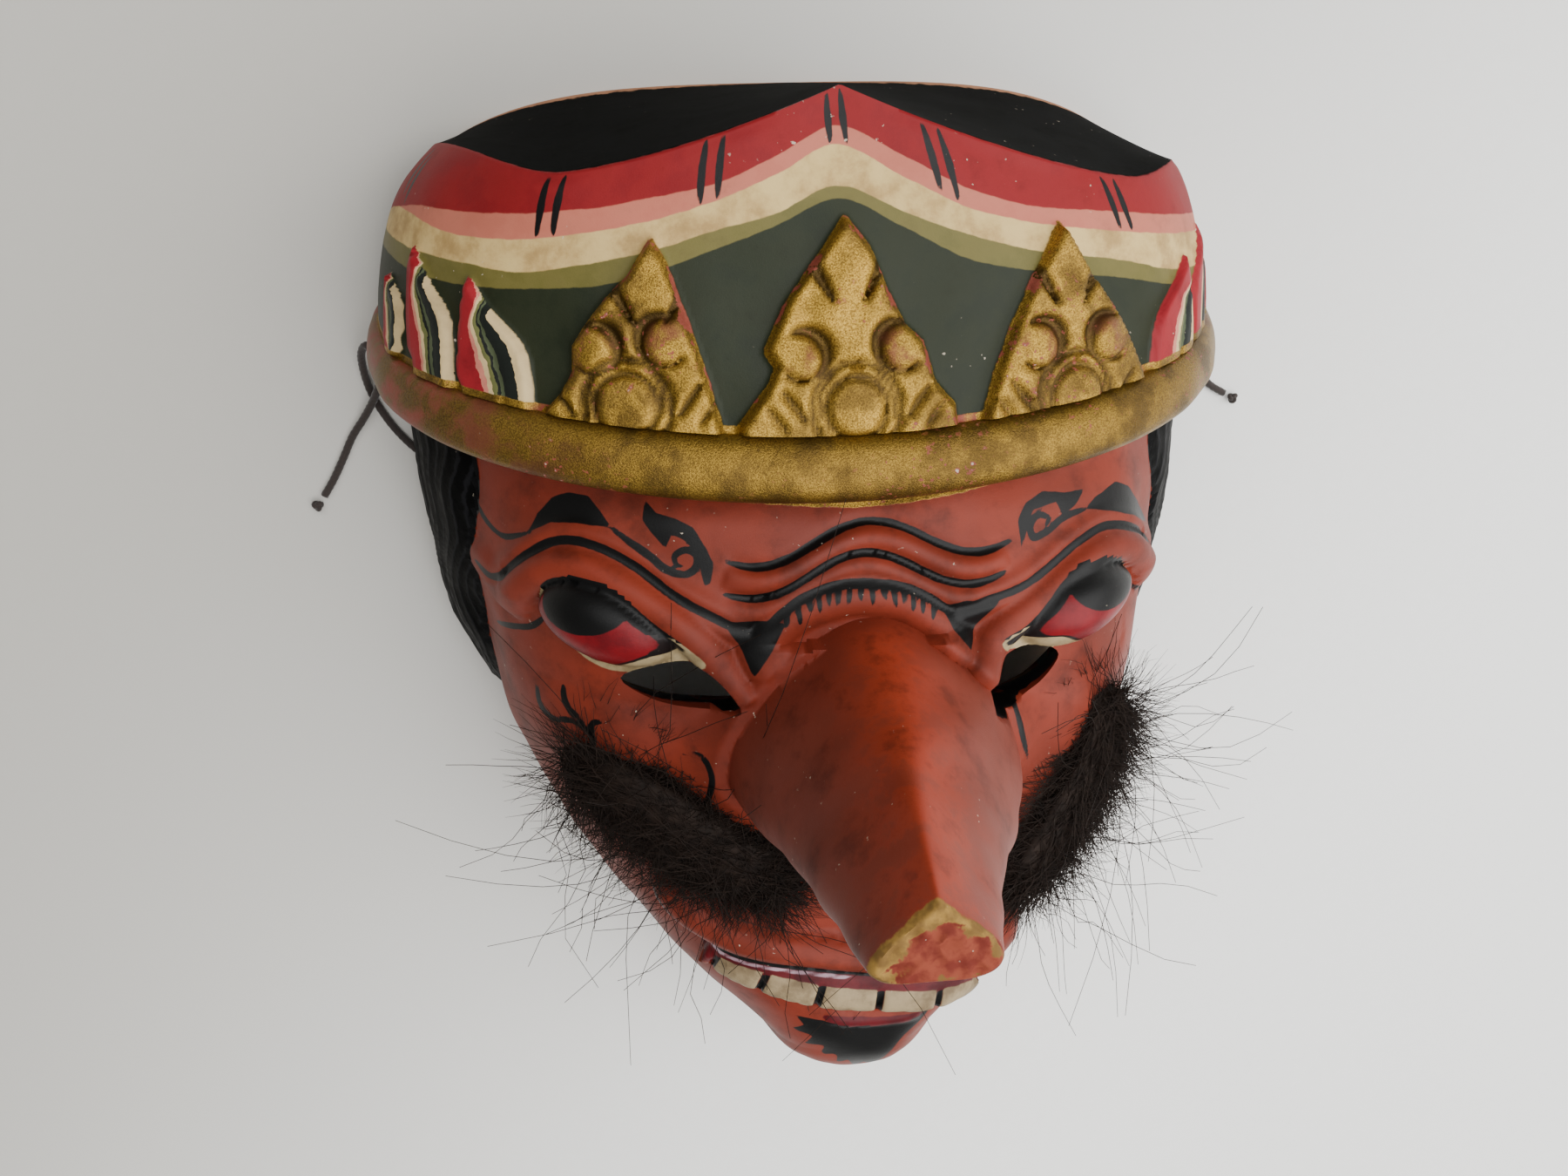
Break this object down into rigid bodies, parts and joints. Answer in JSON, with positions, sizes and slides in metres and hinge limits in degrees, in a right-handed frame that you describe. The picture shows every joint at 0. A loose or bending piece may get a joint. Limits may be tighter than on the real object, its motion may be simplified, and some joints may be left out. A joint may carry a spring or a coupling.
{
  "type": "carved wooden dance mask",
  "caption": "Hollow carved and painted wooden face mask with a long nose, a gilded scalloped crown, a real-hair moustache and a black head thread.",
  "frame": {"origin": "middle of the mask on the plane that its back rim lies on", "axes": "+X to a viewer's right, +Y from the chin to the crown, +Z out of the face"},
  "size_m": [0.195, 0.1899, 0.127],
  "materials": {
    "painted_wood": "hand-painted, semi-gloss, worn",
    "real_hair": "coarse dark hair",
    "thread": "twisted black cotton thread"
  },
  "bodies": {
    "root": {"mask": "painted_wood", "moustache_left": "real_hair", "moustache_right": "real_hair", "strap": "thread", "strap_tail_left": "thread", "strap_tail_right": "thread", "strap_knot_left": "thread", "strap_knot_right": "thread", "tail_end_knot_left": "thread", "tail_end_knot_right": "thread"}
  },
  "joints": []
}
